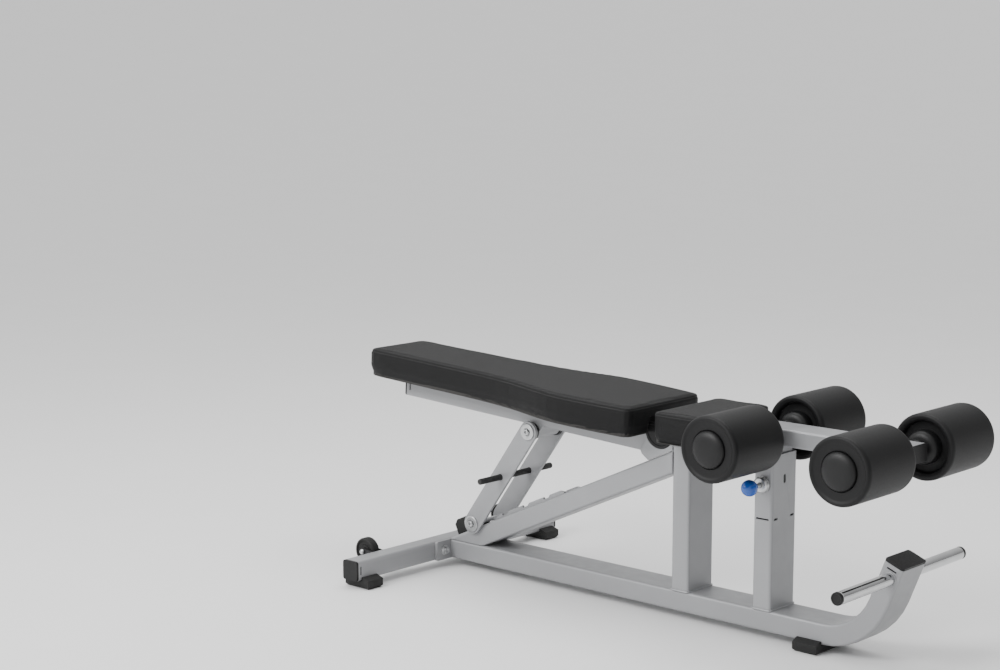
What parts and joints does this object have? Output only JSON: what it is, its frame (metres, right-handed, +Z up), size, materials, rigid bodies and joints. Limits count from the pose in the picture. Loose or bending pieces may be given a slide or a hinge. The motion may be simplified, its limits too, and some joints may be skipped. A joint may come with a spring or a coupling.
{
  "type": "adjustable weight bench",
  "caption": "Low adjustable weight bench: hinged shaped backrest on a prop strut, short seat, height-adjustable foam leg rollers on a sliding post, chrome foot handle and transport wheels.",
  "frame": {"origin": "on the floor, under the centre of the overall bounding box", "axes": "+X along the bench from the head end of the backrest to the leg rollers, +Y to the left of a person lying on it, +Z up"},
  "size_m": [1.6248, 0.7566, 0.5508],
  "materials": {
    "silver_paint": "satin silver-grey powder coat",
    "zinc_steel": "bright zinc plate",
    "chrome": "polished",
    "vinyl": "smooth black upholstery vinyl, fine grain",
    "foam": "closed-cell black foam, matt skin",
    "black_plastic": "moulded, satin",
    "rubber": "moulded, matt",
    "grip_rubber": "sleeved grip",
    "plywood": "birch plywood, stained black",
    "black_paint": "satin black paint",
    "blue_plastic": "glossy blue knob on a steel pin"
  },
  "bodies": {
    "frame": {"base_beam": "silver_paint", "front_end_cap": "black_plastic", "handle_bar": "chrome", "handle_plug_left": "black_plastic", "handle_plug_right": "black_plastic", "front_foot": "rubber", "rear_crossbar": "silver_paint", "crossbar_cap_left": "black_plastic", "rear_foot_left": "rubber", "crossbar_cap_right": "black_plastic", "rear_foot_right": "rubber", "flange_bolt_left": "zinc_steel", "flange_bolt_right": "zinc_steel", "wheel_fork_left": "black_paint", "wheel_fork_right": "black_paint", "incline_beam": "silver_paint", "ladder_rail_left": "silver_paint", "ladder_rail_right": "silver_paint", "strut_stop": "rubber", "seat_post": "silver_paint", "hinge_ear_left": "silver_paint", "hinge_bearing_left": "black_plastic", "hinge_ear_right": "silver_paint", "hinge_bearing_right": "black_plastic", "hinge_axle": "zinc_steel", "seat_board": "plywood", "seat_pad": "vinyl", "roller_post": "silver_paint", "post_guide": "black_plastic", "pop_pin_housing": "zinc_steel"},
    "backrest": {"backrest_tube": "silver_paint", "backrest_board": "plywood", "backrest_pad": "vinyl", "backrest_tube_cap": "black_plastic", "pad_bolt_head": "zinc_steel", "pad_bolt_hip": "zinc_steel"},
    "strut": {"strut_arm_left": "silver_paint", "strut_arm_right": "silver_paint", "strut_spacer_left": "black_plastic", "strut_spacer_right": "black_plastic", "strut_axle": "zinc_steel", "strut_foot_pin": "zinc_steel", "strut_handle": "grip_rubber"},
    "carriage": {"sliding_post": "silver_paint", "roller_beam": "silver_paint", "roller_beam_cap_front": "black_plastic", "roller_beam_cap_rear": "black_plastic", "roller_axle_rear": "zinc_steel", "roller_axle_front": "zinc_steel"},
    "pop_pin": {"pop_pin": "blue_plastic"},
    "roller_rear_left": {"foam_roller_rear_left": "foam", "roller_hub_rear_left": "black_plastic"},
    "roller_rear_right": {"foam_roller_rear_right": "foam", "roller_hub_rear_right": "black_plastic"},
    "roller_front_left": {"foam_roller_front_left": "foam", "roller_hub_front_left": "black_plastic"},
    "roller_front_right": {"foam_roller_front_right": "foam", "roller_hub_front_right": "black_plastic"},
    "wheel_left": {"transport_wheel_left": "rubber"},
    "wheel_right": {"transport_wheel_right": "rubber"}
  },
  "joints": [
    {"name": "backrest_tilt", "type": "hinge", "parent": "frame", "child": "backrest", "pos_m": [0.114, 0, 0.445], "axis": [0, 1, 0], "range_deg": [0, 24]},
    {"name": "strut_swing", "type": "hinge", "parent": "backrest", "child": "strut", "pos_m": [-0.289, 0, 0.39], "axis": [0, -1, 0], "range_deg": [0, 56]},
    {"name": "carriage_lift", "type": "slide", "parent": "frame", "child": "carriage", "axis": [0, 0, 1], "range_m": [0, 0.12]},
    {"name": "pop_pin_travel", "type": "slide", "parent": "frame", "child": "pop_pin", "axis": [0, -1, 0], "range_m": [-0.0125, 0]},
    {"name": "roller_rear_left_spin", "type": "hinge", "parent": "carriage", "child": "roller_rear_left", "pos_m": [0.408, 0.1685, 0.472], "axis": [0, 1, 0], "continuous": true},
    {"name": "roller_rear_right_spin", "type": "hinge", "parent": "carriage", "child": "roller_rear_right", "pos_m": [0.408, -0.1685, 0.472], "axis": [0, 1, 0], "continuous": true},
    {"name": "roller_front_left_spin", "type": "hinge", "parent": "carriage", "child": "roller_front_left", "pos_m": [0.7385, 0.1685, 0.472], "axis": [0, 1, 0], "continuous": true},
    {"name": "roller_front_right_spin", "type": "hinge", "parent": "carriage", "child": "roller_front_right", "pos_m": [0.7385, -0.1685, 0.472], "axis": [0, 1, 0], "continuous": true},
    {"name": "wheel_left_spin", "type": "hinge", "parent": "frame", "child": "wheel_left", "pos_m": [-0.659, 0.256, 0.0625], "axis": [0, 1, 0], "continuous": true},
    {"name": "wheel_right_spin", "type": "hinge", "parent": "frame", "child": "wheel_right", "pos_m": [-0.659, -0.256, 0.0625], "axis": [0, 1, 0], "continuous": true}
  ],
  "couplings": [
    {"joint": "strut_swing", "follows": "backrest_tilt", "ratio": 2.3}
  ]
}
